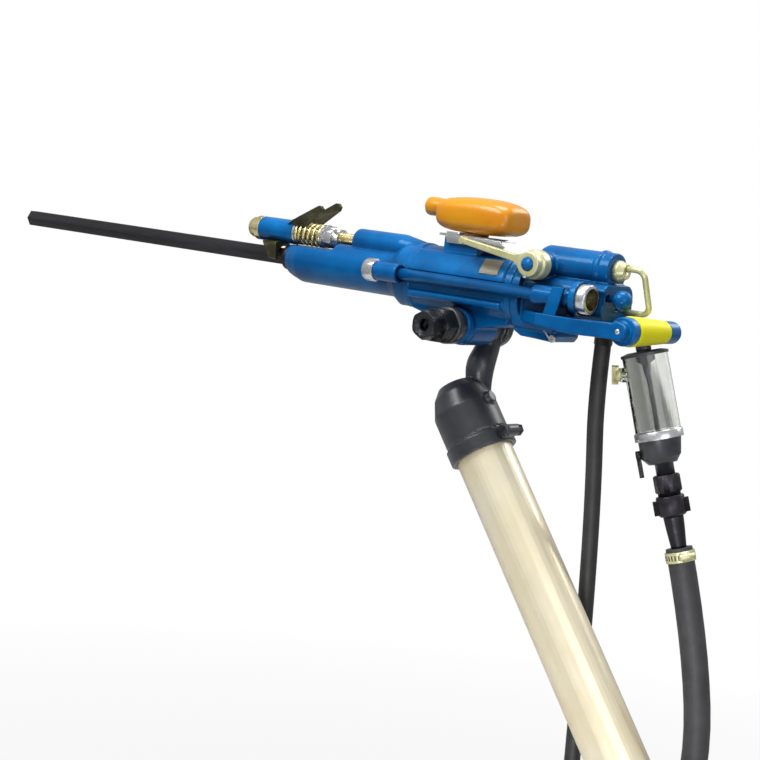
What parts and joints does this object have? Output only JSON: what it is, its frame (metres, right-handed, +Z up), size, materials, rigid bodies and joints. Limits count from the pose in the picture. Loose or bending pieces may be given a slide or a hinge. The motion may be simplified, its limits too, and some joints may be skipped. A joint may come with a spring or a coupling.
{
  "type": "pneumatic air-leg rock drill",
  "caption": "Air-leg rock drill with drill steel, spring-held retainer, ribbed cylinder, orange muffler, side handle, pusher leg, line oiler, and air and water hoses.",
  "frame": {"origin": "centre of the drill steel's cut front end, on the drill's axis", "axes": "+X along the drill's axis towards the rear handle, +Y towards the far side, +Z up, away from the leg"},
  "size_m": [1.6551, 0.5608, 1.3041],
  "materials": {
    "dark_steel": "dark, oiled",
    "bronze": "machined",
    "blue_paint": "gloss",
    "yellow_zinc": "yellow zinc plating",
    "olive_steel": "dull",
    "bright_steel": "plain",
    "orange_plastic": "satin",
    "cream_zinc": "pale yellow zinc",
    "yellow_plastic": "satin",
    "black_paint": "gloss",
    "champagne_aluminium": "anodised",
    "black_rubber": "matt",
    "grey_rubber": "matt",
    "clear_plastic": "clear",
    "brass_fitting": "turned"
  },
  "bodies": {
    "machine": {"front_head": "blue_paint", "guide_bush": "bronze", "retainer_bolt": "yellow_zinc", "retainer_spring": "yellow_zinc", "retainer_nuts": "bright_steel", "cylinder": "blue_paint", "ratchet_ring": "dark_steel", "valve_chest": "dark_steel", "back_head": "blue_paint", "tie_rods": "blue_paint", "tie_rod_nuts": "bright_steel", "muffler": "orange_plastic", "muffler_bracket": "bright_steel", "bracket_bolts": "bright_steel", "handle": "blue_paint", "grip_sleeve": "yellow_plastic", "side_socket": "bright_steel", "rear_cap": "cream_zinc", "supply_pipe": "cream_zinc", "water_needle": "bright_steel", "inlet_elbow": "black_paint", "lubricator_head": "black_paint", "clear_cup": "clear_plastic", "lubricator_base": "black_paint", "coupling_nut": "dark_steel", "hose_tail": "dark_steel", "hose_clamp": "cream_zinc", "water_tail": "cream_zinc", "air_hose": "black_rubber", "air_hose_coil": "black_rubber", "air_hose_coupling": "bright_steel", "water_hose": "grey_rubber", "water_hose_coil": "grey_rubber", "water_hose_end": "brass_fitting"},
    "chuck": {"rotation_sleeve": "dark_steel", "chuck_bush": "bronze"},
    "steel": {"drill_steel": "dark_steel"},
    "hammer": {"piston": "bright_steel", "rifle_nut": "bronze"},
    "rifle": {"rifle_bar": "dark_steel", "pawls": "dark_steel"},
    "flap": {"flap_valve": "bright_steel"},
    "retainer": {"steel_retainer": "olive_steel"},
    "throttle": {"throttle_lever": "cream_zinc", "throttle_spindle": "blue_paint"},
    "leg": {"leg_head": "black_paint", "cross_shaft": "dark_steel", "shaft_barrel": "black_paint", "shaft_nuts": "black_paint", "clamp_bolt": "olive_steel", "leg_outer_tube": "champagne_aluminium", "leg_gland": "black_paint", "leg_air_pipe": "bright_steel"},
    "foot": {"leg_rod": "bright_steel", "leg_piston": "black_rubber", "foot_fork": "black_paint"},
    "button": {"retract_button": "blue_paint"},
    "filler": {"filler_plug": "cream_zinc"},
    "oiler": {"oil_lever": "dark_steel"},
    "wing": {"wing_nut": "dark_steel"}
  },
  "joints": [
    {"name": "chuck_turn", "type": "hinge", "parent": "machine", "child": "chuck", "pos_m": [0.65, 0, 0], "axis": [1, 0, 0], "continuous": true},
    {"name": "steel_slide", "type": "slide", "parent": "chuck", "child": "steel", "axis": [-1, 0, 0], "range_m": [0, 0.0065]},
    {"name": "hammer_stroke", "type": "slide", "parent": "machine", "child": "hammer", "axis": [-1, 0, 0], "range_m": [0, 0.07]},
    {"name": "rifle_turn", "type": "hinge", "parent": "machine", "child": "rifle", "pos_m": [0.93, 0, 0], "axis": [1, 0, 0], "continuous": true},
    {"name": "valve_shift", "type": "slide", "parent": "machine", "child": "flap", "axis": [1, 0, 0], "range_m": [0, 0.0044]},
    {"name": "retainer_swing", "type": "hinge", "parent": "machine", "child": "retainer", "pos_m": [0.5, 0, 0.035], "axis": [1, 0, 0], "range_deg": [-45, 0]},
    {"name": "throttle_turn", "type": "hinge", "parent": "machine", "child": "throttle", "pos_m": [0.977, 0, 0.0385], "axis": [0, 1, 0], "range_deg": [0, 90]},
    {"name": "leg_swing", "type": "hinge", "parent": "machine", "child": "leg", "pos_m": [0.865, 0, -0.052], "axis": [0, 1, 0], "range_deg": [-8, 45]},
    {"name": "leg_feed", "type": "slide", "parent": "leg", "child": "foot", "axis": [0.5976, 0, -0.8018], "range_m": [0, 0.9]},
    {"name": "button_press", "type": "slide", "parent": "machine", "child": "button", "axis": [-1, 0, 0], "range_m": [0, 0.004], "stiffness_N_per_m": 800},
    {"name": "filler_turn", "type": "hinge", "parent": "machine", "child": "filler", "pos_m": [1.08559, 0.02614, -0.0824], "axis": [-0.8602, -0.5001, -0.1], "continuous": true},
    {"name": "oiler_turn", "type": "hinge", "parent": "machine", "child": "oiler", "pos_m": [1.11462, 0.0303, -0.17811], "axis": [-0.7468, -0.6009, -0.2849], "range_deg": [-30, 30]},
    {"name": "wing_turn", "type": "hinge", "parent": "machine", "child": "wing", "pos_m": [1.15112, 0.05114, -0.22367], "axis": [0.2949, 0.0848, -0.9517], "continuous": true}
  ]
}
